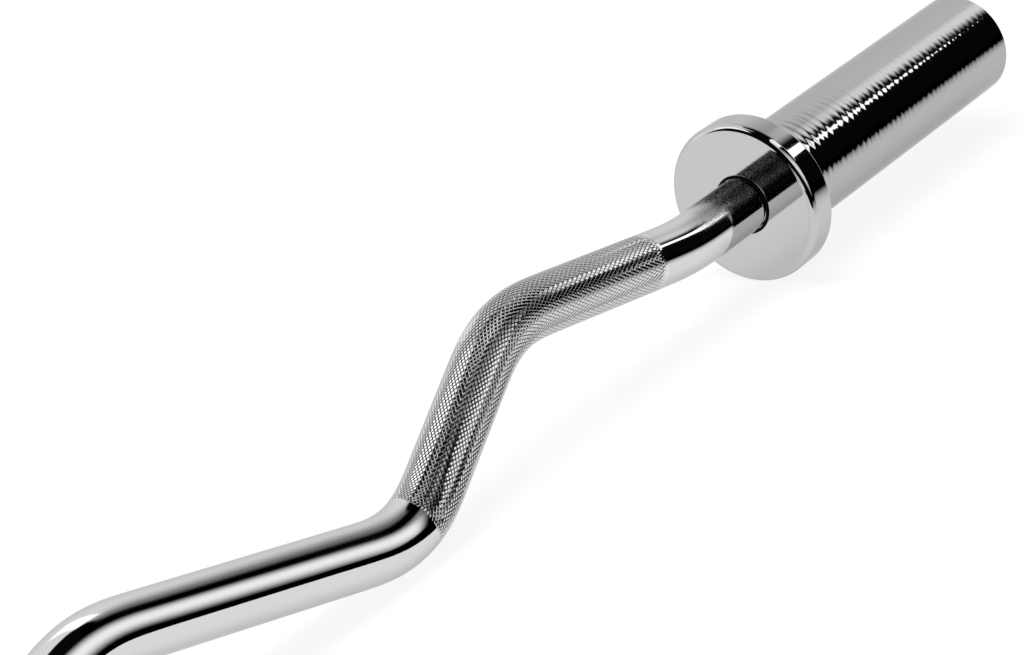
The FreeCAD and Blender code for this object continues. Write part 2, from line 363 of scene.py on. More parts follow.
patches = add_node(tree, "ShaderNodeMapRange", Value=grains.outputs["Fac"], From__Min=0.40, From__Max=0.60,
                   To__Min=0.16, To__Max=0.34)
dulled = add_node(tree, "ShaderNodeMix", Factor=hazy.outputs[0], A=wiped, B=patches.outputs["Result"])
tree.links.new(dulled.outputs["Result"], shader.inputs["Roughness"])
shaft.data.materials.append(chrome_bar)
smooth(shaft)


# The knurled grips: two crossing sets of grooves rolled into the steel bar and chromed with it, which leave
# flat-topped diamonds at the bar's own diameter. The grooves run out at both ends of the grip.
DIAMONDS_ROUND = 48
DIAMOND_LENGTH_INSIDE = 2.55
DIAMOND_LENGTH_OUTSIDE = 3.1
GROOVE_DEPTH = 0.16
GROOVE_HALF_WIDTH = 0.28
RUN_OUT_INSIDE = 0.8
RUN_OUT_OUTSIDE = 5.0
BAND_WALL = 0.35
BAND_INNER_RINGS = 50
END_ROW_MARGIN = 0.1
DIAMOND_CRISP_ANGLE = math.radians(20)

root_radius = SHAFT_RADIUS - GROOVE_DEPTH
inner_radius = SHAFT_RADIUS - BAND_WALL
diamond_rows = round(2 * (grip_end - grip_start) / (DIAMOND_LENGTH_INSIDE + DIAMOND_LENGTH_OUTSIDE))
row_lengths = np.linspace(DIAMOND_LENGTH_INSIDE, DIAMOND_LENGTH_OUTSIDE, diamond_rows)
row_ends = np.concatenate([[0], np.cumsum(row_lengths)]) * (grip_end - grip_start) / row_lengths.sum()
grip_stations = [(grip_start + d, root_radius) for d in row_ends]
knurl = rolled_bar("right_grip_knurl", grip_stations, DIAMONDS_ROUND)
first_vertices = len(knurl.data.vertices)
edit(knurl)
bpy.ops.mesh.poke()

# The rows' own edges are dissolved, so that the poked corners leave diamonds
bpy.ops.mesh.select_mode(type="EDGE")
bpy.ops.mesh.select_all(action="DESELECT")
close_edit()
for edge in knurl.data.edges:
    middle_x = sum(knurl.data.vertices[v].co.x for v in edge.vertices) / 2
    inside = grip_start + END_ROW_MARGIN < middle_x < grip_end - END_ROW_MARGIN
    edge.select = inside and max(edge.vertices) < first_vertices
bpy.ops.object.mode_set(mode="EDIT")
bpy.ops.mesh.dissolve_edges(use_verts=False)
bpy.ops.mesh.select_mode(type="FACE")
bpy.ops.mesh.select_all(action="SELECT")
bpy.ops.mesh.normals_make_consistent(inside=False)
bpy.ops.mesh.inset(use_individual=True, thickness=GROOVE_HALF_WIDTH, depth=GROOVE_DEPTH)

# The band is closed by an inner wall, which lies just under the core's surface
bpy.ops.mesh.select_mode(type="EDGE")
bpy.ops.mesh.select_all(action="DESELECT")
bpy.ops.mesh.select_non_manifold(extend=False)
bpy.ops.mesh.extrude_edges_move()
inward = inner_radius / root_radius
bpy.ops.transform.resize(value=(1, inward, inward), center_override=(0, 0, 0))
bpy.ops.mesh.bridge_edge_loops(number_cuts=BAND_INNER_RINGS)
bpy.ops.mesh.select_all(action="SELECT")
bpy.ops.mesh.normals_make_consistent(inside=False)
close_edit()

# The grooves run out: near the ends of the grip their floor rises to the bar's surface
places = coordinates(knurl)
radii = np.hypot(places[:, 1], places[:, 2])
share = np.clip(np.minimum((places[:, 0] - grip_start) / RUN_OUT_INSIDE,
                           (grip_end - places[:, 0]) / RUN_OUT_OUTSIDE), 0, 1)
depths = (SHAFT_RADIUS - np.minimum(radii, SHAFT_RADIUS)) * share
outside = radii > (root_radius + inner_radius) / 2
wanted = np.where(outside, SHAFT_RADIUS - depths, radii)
places[:, 1:] *= (wanted / radii)[:, None]
place_vertices(knurl, places)
# How deep each vertex lies in a groove, which the knurl's chrome turns into painted shade
groove_share = np.clip((SHAFT_RADIUS - wanted) / GROOVE_DEPTH, 0, 1).astype(np.float32)
knurl.data.attributes.new("groove", "FLOAT", "POINT").data.foreach_set("value", groove_share)
press_bends(knurl)

# Bright chrome over rolled knurling, with painted shade in the grooves: the colour darkens with the depth of
# each groove, from the diamonds' tops to its floor, so that the pattern stays clear at every angle
DIAMOND_TOP = "#E2E2E3"
GROOVE_PAINTED_SHADE = "#8C8C8E"
chrome_knurl, tree, shader = new_chrome("bright_chrome_on_rolled_knurl", DIAMOND_TOP)
groove = add_node(tree, "ShaderNodeAttribute", {"attribute_name": "groove"})
painted_groove_shade = add_node(tree, "ShaderNodeMix", {"data_type": "RGBA"}, Factor=groove.outputs["Fac"],
                   _6=linear(DIAMOND_TOP), _7=linear(GROOVE_PAINTED_SHADE))
tree.links.new(painted_groove_shade.outputs[2], shader.inputs["Base Color"])
shader.inputs["Roughness"].default_value = 0.08
knurl.data.materials.append(chrome_knurl)
smooth(knurl, DIAMOND_CRISP_ANGLE)


def mirrored_copy(piece, name):
    """The same piece, with a mesh of its own, on the left-hand side."""
    copy = piece.copy()
    copy.data = piece.data.copy()
    copy.name = name
    copy.data.name = name
    bpy.context.collection.objects.link(copy)
    copy.data.transform(Matrix.Scale(-1, 4, (1, 0, 0)))
    copy.data.flip_normals()
    return copy


for grip in (knurl, mirrored_copy(knurl, "left_grip_knurl")):
    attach(grip, "shaft")


# The shaft's retaining rings, and those of the end caps: stamped from spring steel and blackened in oil, so
# dark, fine-grained and only faintly shiny. The shaft's rings snap into its grooves and hold the washers.
OXIDE_GRAIN = 0.4
spring_steel, tree, shader = new_metal("blackened_spring_steel", "#3A3B3D")
where = add_node(tree, "ShaderNodeTexCoord").outputs["Object"]
grain = add_node(tree, "ShaderNodeTexNoise", Vector=where, Scale=1 / (OXIDE_GRAIN * MM), Detail=4.0)
dull = add_node(tree, "ShaderNodeMapRange", Value=grain.outputs["Fac"], To__Min=0.35, To__Max=0.55)
tree.links.new(dull.outputs["Result"], shader.inputs["Roughness"])
pits = add_node(tree, "ShaderNodeBump", Height=grain.outputs["Fac"], Strength=0.4, Distance=0.02 * MM)
tree.links.new(pits.outputs["Normal"], shader.inputs["Normal"])


def finish_nodes(names, material):
    """Gives these CAD nodes, on both sides, a finish in place of the plain one."""
    for side in ("right_", "left_"):
        for name in names:
            for material_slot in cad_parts[side + name].material_slots:
                material_slot.material = material


finish_nodes(["inner_shaft_ring", "outer_shaft_ring", "end_cap_ring"], spring_steel)


# The thrust washers: flat steel rings, ground on both faces, which lie loose on the shaft between the
# retaining rings and the bushes. Grinding leaves fine arcs, brighter and duller by turns.
ARC_SPACING = 0.942

# A wave pattern of scale 1 repeats after this length
WAVE_REPEAT = 0.314
ground_steel, tree, shader = new_metal("ground_washer_steel", "#A9A8A6")
where = add_node(tree, "ShaderNodeTexCoord").outputs["Object"]
arcs = add_node(tree, "ShaderNodeTexWave", {"wave_type": "RINGS"}, Vector=where,
                Scale=WAVE_REPEAT / (ARC_SPACING * MM), Distortion=6.0)
dull = add_node(tree, "ShaderNodeMapRange", Value=arcs.outputs["Fac"], To__Min=0.22, To__Max=0.36)
tree.links.new(dull.outputs["Result"], shader.inputs["Roughness"])
finish_nodes(["inner_thrust_washer", "outer_thrust_washer"], ground_steel)


# The sleeves: thick steel tubes turned on a lathe and chromed over, so the tool's feed shows as rings in
# the mirror. Each has a spigot pressed into its collar, bores for the bushes and a stepped mouth.
SLEEVE_SIDES = 128
SPIGOT_RADIUS = 21.0
SLEEVE_BORE_RADIUS = 16.0
BUSH_RECESS_RADIUS = 18.6
CAP_SEAT_RADIUS = 21.0
CAP_GROOVE_RADIUS = 22.0
SLEEVE_END_CHAMFER = 1.5
SLEEVE_END_SETBACK = 0.04
AXIAL_PLAY = 0.12
BUSH_FLANGE = 2.0

# The ripples that the feed left, each with its spacing, its steepest slope and its phase
FEED_WAVES = ((3.9, 0.05, 0.4), (5.3, 0.03, 2.1), (2.3, 0.022, 1.3))
SLOW_DRIFT, SLOW_DRIFT_LENGTH = 1.3, 11.0
QUICK_DRIFT, QUICK_DRIFT_LENGTH = 0.9, 4.7
WAVES_AT_COLLAR, WAVES_AT_END = 0.95, 0.25
WAVE_CUTS = 20


def extent(node):
    """The low and high corners of a CAD node's box, in millimetres."""
    return [np.array(corner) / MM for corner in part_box(node)]


sleeve_low, sleeve_high = extent("right_sleeve")
collar_low, collar_high = extent("right_collar")
cap_low, cap_high = extent("right_end_cap")
cap_ring_low, cap_ring_high = extent("right_end_cap_ring")
sleeve_end = min(sleeve_high[0], cad_box[1][0] / MM) - SLEEVE_END_SETBACK
sleeve_radius = sleeve_high[2]
inner_bush_step = extent("right_inner_thrust_washer")[1][0] + AXIAL_PLAY + BUSH_FLANGE
outer_bush_step = extent("right_outer_thrust_washer")[0][0] - AXIAL_PLAY - BUSH_FLANGE


def pick_vertices(piece, wanted):
    """Selects the vertices of a section that a test of (x, radius) picks out."""
    bpy.ops.mesh.select_all(action="DESELECT")
    close_edit()
    for vertex in piece.data.vertices:
        vertex.select = bool(wanted(vertex.co.x, vertex.co.z))
    bpy.ops.object.mode_set(mode="EDIT")
    bpy.ops.mesh.select_mode(type="VERT")


def section_of(name, corners, rounds=()):
    """A closed wire section of (x, radius) corners in millimetres; rounds lists (corner, radius, segments).
    A vertex on each side of a rounded corner keeps the flats beside it flat in the shading."""
    rounded = {corner: radius for corner, radius, segments in rounds}
    outline = []
    for k, corner in enumerate(corners):
        outline.append(corner)
        if corner in rounded:
            reach = rounded[corner] + EDGE_SUPPORT
            before = np.array(corners[k - 1]) - corner
            after = np.array(corners[(k + 1) % len(corners)]) - corner
            outline.insert(-1, tuple(corner + before * reach / np.linalg.norm(before)))
            outline.append(tuple(corner + after * reach / np.linalg.norm(after)))
    piece = new_piece(name, bpy.ops.mesh.primitive_circle_add, vertices=len(outline))
    place_vertices(piece, [(x, 0, r) for x, r in outline])
    edit(piece)
    bpy.ops.mesh.edge_face_add()
    bpy.ops.mesh.select_mode(type="VERT")
    for corner, radius, segments in rounds:
        pick_vertices(piece, lambda x, r: math.hypot(x - corner[0], r - corner[1]) < SAME_PLACE)
        bpy.ops.mesh.bevel(offset=radius, segments=segments, affect="VERTICES")
    bpy.ops.mesh.select_all(action="SELECT")
    bpy.ops.mesh.delete(type="ONLY_FACE")
    close_edit()
    return piece


def spin(piece, sides):
    """Turns a wire section about the X axis into a closed piece, in metres."""
    edit(piece)
    bpy.ops.mesh.spin(steps=sides, angle=2 * math.pi, center=(0, 0, 0), axis=(1, 0, 0))
    bpy.ops.mesh.select_all(action="SELECT")
    bpy.ops.mesh.remove_doubles(threshold=SAME_PLACE)
    bpy.ops.mesh.delete_loose(use_faces=False)
    bpy.ops.mesh.select_all(action="SELECT")
    bpy.ops.mesh.normals_make_consistent(inside=False)
    bpy.ops.transform.resize(value=(MM, MM, MM), center_override=(0, 0, 0))
    close_edit()


sleeve = section_of("right_plate_sleeve", [
    (sleeve_low[0], BUSH_RECESS_RADIUS),
    (sleeve_low[0], SPIGOT_RADIUS),
    (collar_high[0], SPIGOT_RADIUS),
    (collar_high[0], sleeve_radius),
    (sleeve_end - SLEEVE_END_CHAMFER, sleeve_radius),
    (sleeve_end, sleeve_radius - SLEEVE_END_CHAMFER),
    (sleeve_end, CAP_SEAT_RADIUS),
    (cap_ring_high[0] + RING_SIDE_PLAY, CAP_SEAT_RADIUS),
    (cap_ring_high[0] + RING_SIDE_PLAY, CAP_GROOVE_RADIUS),
    (cap_ring_low[0] - RING_SIDE_PLAY, CAP_GROOVE_RADIUS),
    (cap_ring_low[0] - RING_SIDE_PLAY, CAP_SEAT_RADIUS),
    (cap_low[0], CAP_SEAT_RADIUS),
    (cap_low[0], BUSH_RECESS_RADIUS),
    (outer_bush_step, BUSH_RECESS_RADIUS),
    (outer_bush_step, SLEEVE_BORE_RADIUS),
    (inner_bush_step, SLEEVE_BORE_RADIUS),
    (inner_bush_step, BUSH_RECESS_RADIUS),
])
edit(sleeve)
pick_vertices(sleeve, lambda x, r: abs(r - sleeve_radius) < SAME_PLACE)
bpy.ops.mesh.subdivide(number_cuts=WAVE_CUTS)
bpy.ops.mesh.subdivide(number_cuts=WAVE_CUTS)
close_edit()

# The ripples drift in and out of step along the sleeve, and are stronger beside the collar
places = coordinates(sleeve)
along = places[:, 0]
on_wall = places[:, 2] > sleeve_radius - SAME_PLACE
from_collar = (along - collar_high[0]) / (sleeve_end - collar_high[0])
strength = WAVES_AT_COLLAR + (WAVES_AT_END - WAVES_AT_COLLAR) * from_collar
for spacing, slope, phase in FEED_WAVES:
    height = slope * spacing / (2 * math.pi)
    drift = (SLOW_DRIFT * np.sin(along / SLOW_DRIFT_LENGTH)
             + QUICK_DRIFT * np.sin(along / QUICK_DRIFT_LENGTH + phase))
    wave = np.sin(2 * math.pi * along / spacing + phase + drift)
    places[:, 2] -= np.where(on_wall, strength * height * (1 - wave), 0)
place_vertices(sleeve, places)
spin(sleeve, SLEEVE_SIDES)

# Bright chrome over turned steel: a mirror, slightly greyer than the bar, with hair-fine tool rings. They
# are drawn a few times coarser than a real feed so that they show.
SLEEVE_SMEAR = 20.0
TOOL_FEED = 0.5
chrome_sleeve, tree, shader = new_chrome("bright_chrome_on_turned_steel", "#B2B2B3")
where = add_node(tree, "ShaderNodeTexCoord").outputs["Object"]
tree.links.new(smears(tree, where, SLEEVE_SMEAR, 0.03, 0.08), shader.inputs["Roughness"])
feed = add_node(tree, "ShaderNodeTexWave", {"bands_direction": "X"}, Vector=where,
                Scale=WAVE_REPEAT / (TOOL_FEED * MM), Distortion=0.6, Detail__Scale=2.0)
rings = add_node(tree, "ShaderNodeBump", Height=feed.outputs["Fac"], Strength=0.3, Distance=0.004 * MM)
tree.links.new(rings.outputs["Normal"], shader.inputs["Normal"])
sleeve.data.materials.append(chrome_sleeve)


def fit_both_sides(piece, node, angle=CRISP_ANGLE):
    """Shades a right-hand piece, copies it to the left, and sets both on their sleeves for the CAD nodes."""
    smooth(piece, angle)
    left = mirrored_copy(piece, piece.name.replace("right_", "left_"))
    for side, one in (("right_", piece), ("left_", left)):
        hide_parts(side + node)
        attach(one, side + "sleeve")


fit_both_sides(sleeve, "sleeve")


# The collars: steel discs turned with a round front edge, polished to a flat mirror and chromed. Each is
# bored from behind and pressed on to the sleeve's spigot, and stops the plates.
COLLAR_SIDES = 192
FRONT_EDGE_RADIUS, FRONT_EDGE_STEPS = 3.0, 14
BACK_EDGE_RADIUS, BACK_EDGE_STEPS = 1.0, 6
SEAL_LIP_RADIUS = 13.56
LIP_EDGE_RADIUS, LIP_EDGE_STEPS = 0.3, 3
COLLAR_CRISP_ANGLE = math.radians(40)
collar = section_of("right_collar_disc", [
    (collar_low[0], SEAL_LIP_RADIUS),
    (collar_low[0], collar_radius),
    (collar_high[0], collar_radius),
    (collar_high[0], SPIGOT_RADIUS),
    (sleeve_low[0], SPIGOT_RADIUS),
    (sleeve_low[0], SEAL_LIP_RADIUS),
], rounds=[
    ((collar_low[0], collar_radius), FRONT_EDGE_RADIUS, FRONT_EDGE_STEPS),
    ((collar_high[0], collar_radius), BACK_EDGE_RADIUS, BACK_EDGE_STEPS),
    ((collar_low[0], SEAL_LIP_RADIUS), LIP_EDGE_RADIUS, LIP_EDGE_STEPS),
])
spin(collar, COLLAR_SIDES)

# Bright chrome over polished steel: the clearest mirror on the bar, with only a breath of haze
COLLAR_SMEAR = 15.0
chrome_collar, tree, shader = new_chrome("bright_chrome_on_polished_steel", "#C2C2C3")
where = add_node(tree, "ShaderNodeTexCoord").outputs["Object"]
tree.links.new(smears(tree, where, COLLAR_SMEAR, 0.03, 0.07), shader.inputs["Roughness"])
collar.data.materials.append(chrome_collar)
fit_both_sides(collar, "collar", COLLAR_CRISP_ANGLE)


# The dust seals: black rubber rings moulded with a lip that fills the gap round the shaft. The collar's
# face plate traps the flange behind it.
SEAL_SIDES = 96
SEAL_RUNNING_GAP = 0.06
SEAL_EDGE_RADIUS, SEAL_EDGE_STEPS = 0.2, 3
seal_low, seal_high = extent("right_dust_seal")
seal_bore = SHAFT_RADIUS + SEAL_RUNNING_GAP
seal = section_of("right_rubber_seal", [
    (seal_low[0], seal_bore),
    (collar_low[0] + SEAL_LIP_SETBACK, SEAL_LIP_RADIUS),
    (sleeve_low[0], SEAL_LIP_RADIUS),
    (sleeve_low[0], seal_high[2]),
    (seal_high[0], seal_high[2]),
    (seal_high[0], seal_bore),
], rounds=[((seal_low[0], seal_bore), SEAL_EDGE_RADIUS, SEAL_EDGE_STEPS)])
spin(seal, SEAL_SIDES)

# Moulded rubber: black, dull, with a fine skin
SKIN_GRAIN = 0.3
rubber, tree, shader = new_material("black_moulded_rubber")
shader.inputs["Base Color"].default_value = linear("#030303")
shader.inputs["Roughness"].default_value = 0.8
shader.inputs["Specular IOR Level"].default_value = 0.08
where = add_node(tree, "ShaderNodeTexCoord").outputs["Object"]
skin = add_node(tree, "ShaderNodeTexNoise", Vector=where, Scale=1 / (SKIN_GRAIN * MM), Detail=3.0)
dents = add_node(tree, "ShaderNodeBump", Height=skin.outputs["Fac"], Strength=0.4, Distance=0.02 * MM)
tree.links.new(dents.outputs["Normal"], shader.inputs["Normal"])
seal.data.materials.append(rubber)
fit_both_sides(seal, "dust_seal")


# The bushes: flanged, of oil-soaked sintered bronze, pressed into both ends of the sleeve's bore. They run
# on the shaft; the oil leaves them dark, warm and half dull.
PORE_SIZE = 0.35
PORE_COLOUR = "#6B4A28"
bronze, tree, shader = new_metal("oiled_sintered_bronze", PORE_COLOUR)
where = add_node(tree, "ShaderNodeTexCoord").outputs["Object"]
pores = add_node(tree, "ShaderNodeTexVoronoi", Vector=where, Scale=1 / (PORE_SIZE * MM))
oil = add_node(tree, "ShaderNodeMix", {"data_type": "RGBA"}, Factor=pores.outputs["Distance"],
               _6=linear(PORE_COLOUR), _7=linear("#A97A45"))
tree.links.new(oil.outputs[2], shader.inputs["Base Color"])
shader.inputs["Roughness"].default_value = 0.38
dents = add_node(tree, "ShaderNodeBump", Height=pores.outputs["Distance"], Strength=0.4, Distance=0.03 * MM)
tree.links.new(dents.outputs["Normal"], shader.inputs["Normal"])
finish_nodes(["inner_bush", "outer_bush"], bronze)


# The end caps: turned steel discs with a shallow dish, chromed, which close the mouths of the sleeves. An
# internal retaining ring, finished above with the shaft's rings, keeps each in its seat.
CAP_SIDES = 128
CAP_DISH_RADIUS = 12.0
CAP_DISH_DEPTH = 0.8
CAP_EDGE_RADIUS = 0.5
DISH_EDGE_RADIUS = 0.6
CAP_EDGE_STEPS = 4
cap_radius = cap_high[2]
cap = section_of("right_cover_cap", [
    (cap_low[0], 0),
    (cap_low[0], cap_radius),
    (cap_high[0], cap_radius),
    (cap_high[0], CAP_DISH_RADIUS),
    (cap_high[0] - CAP_DISH_DEPTH, CAP_DISH_RADIUS - CAP_DISH_DEPTH),
    (cap_high[0] - CAP_DISH_DEPTH, 0),
], rounds=[
    ((cap_high[0], cap_radius), CAP_EDGE_RADIUS, CAP_EDGE_STEPS),
    ((cap_high[0], CAP_DISH_RADIUS), DISH_EDGE_RADIUS, CAP_EDGE_STEPS),
    ((cap_high[0] - CAP_DISH_DEPTH, CAP_DISH_RADIUS - CAP_DISH_DEPTH), DISH_EDGE_RADIUS, CAP_EDGE_STEPS),
])
spin(cap, CAP_SIDES)

# Satin chrome over a faced disc: brighter and duller by turns, where the facing tool went round. The turns
# are drawn coarser than a real feed so that they show.
FACING_FEED = 0.6
chrome_cap, tree, shader = new_chrome("satin_chrome_on_faced_steel", "#C6C6C8")
where = add_node(tree, "ShaderNodeTexCoord").outputs["Object"]
turns = add_node(tree, "ShaderNodeTexWave", {"wave_type": "RINGS", "rings_direction": "X"}, Vector=where,
                 Scale=WAVE_REPEAT / (FACING_FEED * MM), Distortion=0.5)
dull = add_node(tree, "ShaderNodeMapRange", Value=turns.outputs["Fac"], To__Min=0.1, To__Max=0.2)
tree.links.new(dull.outputs["Result"], shader.inputs["Roughness"])
rings = add_node(tree, "ShaderNodeBump", Height=turns.outputs["Fac"], Strength=0.3, Distance=0.01 * MM)
tree.links.new(rings.outputs["Normal"], shader.inputs["Normal"])
cap.data.materials.append(chrome_cap)
fit_both_sides(cap, "end_cap")


# The studio: a wide floor of pale paper, as white in the picture and in the chrome as the paper behind the
# bar, which still takes the bar's shadow. Sizes in the studio are in metres.
FLOOR_SIZE = 8.0
SEEN_GLOW, SEEN_MATT = 0.86, 0.16
MIRRORED_GLOW, MIRRORED_MATT = 0.8, 0.2
PLAIN_MATT = 0.8
floor_z = cad_box[0][2]
floor = new_piece("studio_floor", bpy.ops.mesh.primitive_plane_add, size=FLOOR_SIZE,
                  location=(0, 0, floor_z))
bpy.ops.object.transform_apply(location=True, rotation=True, scale=True)
paper, tree, shader = new_material("white_floor_paper")
tree.nodes.remove(shader)


def grey(level):
    """A grey of this level, as the linear RGBA that the shaders take."""
    return (level, level, level, 1)


def glowing_paper(tree, glow, matt):
    """Paper that shines by itself and is lit as well, so that a shadow on it stays faint."""
    lit = add_node(tree, "ShaderNodeBsdfDiffuse", Color=grey(matt))
    light = add_node(tree, "ShaderNodeEmission", Color=grey(1), Strength=glow)
    return add_node(tree, "ShaderNodeAddShader", _0=lit.outputs[0], _1=light.outputs[0]).outputs[0]


rays = add_node(tree, "ShaderNodeLightPath").outputs
plain = add_node(tree, "ShaderNodeBsdfDiffuse", Color=grey(PLAIN_MATT))
through = add_node(tree, "ShaderNodeMath", {"operation": "MAXIMUM"},
                   _0=rays["Is Glossy Ray"], _1=rays["Is Transmission Ray"])
indirect = add_node(tree, "ShaderNodeMixShader", Fac=through.outputs[0],
                    _1=plain.outputs[0], _2=glowing_paper(tree, MIRRORED_GLOW, MIRRORED_MATT))
choice = add_node(tree, "ShaderNodeMixShader", Fac=rays["Is Camera Ray"],
                  _1=indirect.outputs[0], _2=glowing_paper(tree, SEEN_GLOW, SEEN_MATT))
tree.links.new(choice.outputs[0], tree.nodes["Material Output"].inputs["Surface"])
floor.data.materials.append(paper)


def reflections_only(piece):
    """Leaves the piece in mirrors alone, and out of the picture, the light and the shadows."""
    piece.visible_camera = False
    piece.visible_diffuse = False
    piece.visible_transmission = False
    piece.visible_volume_scatter = False
    piece.visible_shadow = False


# The dark side of the room, in front of the bar and overhead, which chrome shows as black bands. At its
# edges the white paper behind the bar rises to a brighter strip before it falls off to black.
ROOM_RADIUS = 3.5
PAPER_STRIP = 1.38
BLACK_WALL = 0.003
WALL_BEARING = math.radians(212.5)
DARK_WALL = (math.sin(WALL_BEARING), math.cos(WALL_BEARING), 0)
WALL_STRIP_EDGE = (-0.616, -0.485)
WALL_DARK_EDGE = (-0.407, -0.242)
DARK_CEILING = (0.286, -0.005, 0.958)
CEILING_EDGE = (0.925, 0.955)
room = new_piece("dark_room", bpy.ops.mesh.primitive_uv_sphere_add, segments=64, ring_count=32,
                 radius=ROOM_RADIUS)
black, tree, shader = new_material("black_studio_wall")
tree.nodes.remove(shader)
where = add_node(tree, "ShaderNodeTexCoord").outputs["Object"]
levelled = add_node(tree, "ShaderNodeVectorMath", {"operation": "MULTIPLY"}, _0=where, _1=(1, 1, 0))


def facing(tree, place, side, edge):
    """Rises softly from 0 to 1 where the direction of a place turns towards a side, across an edge that is
    given as two cosines."""
    direction = add_node(tree, "ShaderNodeVectorMath", {"operation": "NORMALIZE"}, _0=place)
    met = add_node(tree, "ShaderNodeVectorMath", {"operation": "DOT_PRODUCT"},
                   _0=direction.outputs[0], _1=side)
    rise = add_node(tree, "ShaderNodeMapRange", {"interpolation_type": "SMOOTHSTEP"},
                    Value=met.outputs["Value"], From__Min=edge[0], From__Max=edge[1])
    return rise.outputs["Result"]


ceiling = facing(tree, where, DARK_CEILING, CEILING_EDGE)
present = add_node(tree, "ShaderNodeMath", {"operation": "MAXIMUM"},
                   _0=facing(tree, levelled.outputs[0], DARK_WALL, WALL_STRIP_EDGE), _1=ceiling)
dark = add_node(tree, "ShaderNodeMath", {"operation": "MAXIMUM"},
                _0=facing(tree, levelled.outputs[0], DARK_WALL, WALL_DARK_EDGE), _1=ceiling)
level = add_node(tree, "ShaderNodeMapRange", Value=dark.outputs[0], To__Min=PAPER_STRIP, To__Max=BLACK_WALL)
glow = add_node(tree, "ShaderNodeEmission", Color=grey(1), Strength=level.outputs["Result"])
clear = add_node(tree, "ShaderNodeBsdfTransparent")
mixed = add_node(tree, "ShaderNodeMixShader", Fac=present.outputs[0],
                 _1=clear.outputs[0], _2=glow.outputs[0])
tree.links.new(mixed.outputs[0], tree.nodes["Material Output"].inputs["Surface"])
room.data.materials.append(black)
reflections_only(room)


def card(name, corners, strength, fades=(0, 0, 0, 0)):
    """A flat card that only reflections see, black at strength 0. The fades are the shares of its size over
    which it fades out where U is 0, U is 1, V is 0 and V is 1. U runs from the first corner to the next."""
    piece = new_piece(name, bpy.ops.mesh.primitive_plane_add, size=1)
    place_vertices(piece, [corners[0], corners[1], corners[3], corners[2]])
    material, tree, shader = new_material(name + "_surface")
    tree.nodes.remove(shader)
    surface = add_node(tree, "ShaderNodeEmission", Color=grey(1), Strength=strength)
    unwrapped = add_node(tree, "ShaderNodeTexCoord").outputs["UV"]
    across = add_node(tree, "ShaderNodeSeparateXYZ", Vector=unwrapped)
    for (axis, side), fade in zip((("X", 0), ("X", 1), ("Y", 0), ("Y", 1)), fades):
        if fade:
            ramp = add_node(tree, "ShaderNodeMapRange", {"interpolation_type": "SMOOTHSTEP"},
                            Value=across.outputs[axis], From__Min=side, From__Max=abs(side - fade))
            clear = add_node(tree, "ShaderNodeBsdfTransparent")
            surface = add_node(tree, "ShaderNodeMixShader", Fac=ramp.outputs["Result"],
                               _1=clear.outputs[0], _2=surface.outputs[0])
    tree.links.new(surface.outputs[0], tree.nodes["Material Output"].inputs["Surface"])
    piece.data.materials.append(material)
    reflections_only(piece)


# Black paper on the floor in front of the bar, which gives its lower side a dark line. It reaches in under
# the valley bend, and under the sleeve its edge is soft.
FLAG_LIFT = 0.0002
FLAG_REACH = 4.0
SOFT_EDGE = 0.17
VALLEY_FLAG_CORNER = (0.147, -0.068)
SLEEVE_FLAG_Y = -0.07


def floor_flag(name, start, end, others=None, fades=(0, 0, 0, 0)):
    """A black paper with its edge from start to end, in (x, y), and its other corners far out in front."""
    others = others or [(end[0], -FLAG_REACH), (start[0], -FLAG_REACH)]
    card(name, [(x, y, floor_z + FLAG_LIFT) for x, y in (start, end, *others)], 0.0, fades)


floor_flag("left_floor_flag", (-FLAG_REACH, -0.142), (0.1, -0.142))
floor_flag("middle_floor_flag", (0.1, -0.142), VALLEY_FLAG_CORNER)
floor_flag("bend_floor_flag", VALLEY_FLAG_CORNER, (0.182, -0.037), [(0.215, -0.083), (0.147, -0.080)])
floor_flag("near_floor_flag", VALLEY_FLAG_CORNER, (0.35, -0.113))
floor_flag("right_floor_flag", (0.35, SLEEVE_FLAG_Y), (FLAG_REACH, SLEEVE_FLAG_Y),
           fades=(0, 0, SOFT_EDGE / (FLAG_REACH + SLEEVE_FLAG_Y), 0))

# A softbox of two panels for the middle of the bar, a strip light that narrows for the sleeve, and a dark
# scrim beside the sleeve
SOFTBOX = 1.25
STRIP_LIGHT = 2.4
softbox_top, softbox_foot = (0.321, -0.172, 0.341), (0.214, -0.441, 0.026)
strip_front, strip_back = (1.18, -0.512, 0.477), (1.18, -0.402, 0.573)
card("front_softbox", [softbox_top, softbox_foot, (0.404, -0.425, -0.088), (0.511, -0.200, 0.243)],
     SOFTBOX, fades=(0.45, 0.5, 0, 0.08))
card("left_softbox", [(0.10, -0.14, 0.46), (0.05, -0.455, 0.12), softbox_foot, softbox_top],
     SOFTBOX, fades=(0.45, 0.5, 0, 0))
card("wide_strip_light", [(1.02, -0.566, 0.411), strip_front, strip_back, (1.02, -0.307, 0.629)],
     STRIP_LIGHT)
card("long_strip_light", [strip_front, (1.42, -0.445, 0.540), (1.42, -0.431, 0.552), strip_back],
     STRIP_LIGHT)
card("side_scrim", [(0.655, 0.45, 0.14), (0.655, -0.45, 0.14), (0.655, -0.45, 1.3), (0.655, 0.45, 1.3)],
     0.0, fades=(0.69, 0, 0.163, 0))

# A small softbox close over the collar, one behind the grips, and two black flags close to the valley bend,
# where the highlight ends
COLLAR_SOFTBOX = 1.5
GRIP_SOFTBOX = 1.95
BEND_FLAG_Y = -0.038
card("collar_softbox", [(0.335, -0.066, 0.10), (0.465, -0.066, 0.10),
                        (0.465, -0.040, 0.10), (0.335, -0.040, 0.10)], COLLAR_SOFTBOX, fades=(0.4, 0, 0, 0))
card("grip_softbox", [(0.13, 0.06, 0.30), (0.26, 0.06, 0.30), (0.26, 0.40, 0.30), (0.13, 0.40, 0.30)],
     GRIP_SOFTBOX, fades=(0.2, 0.3, 0.1, 0.2))


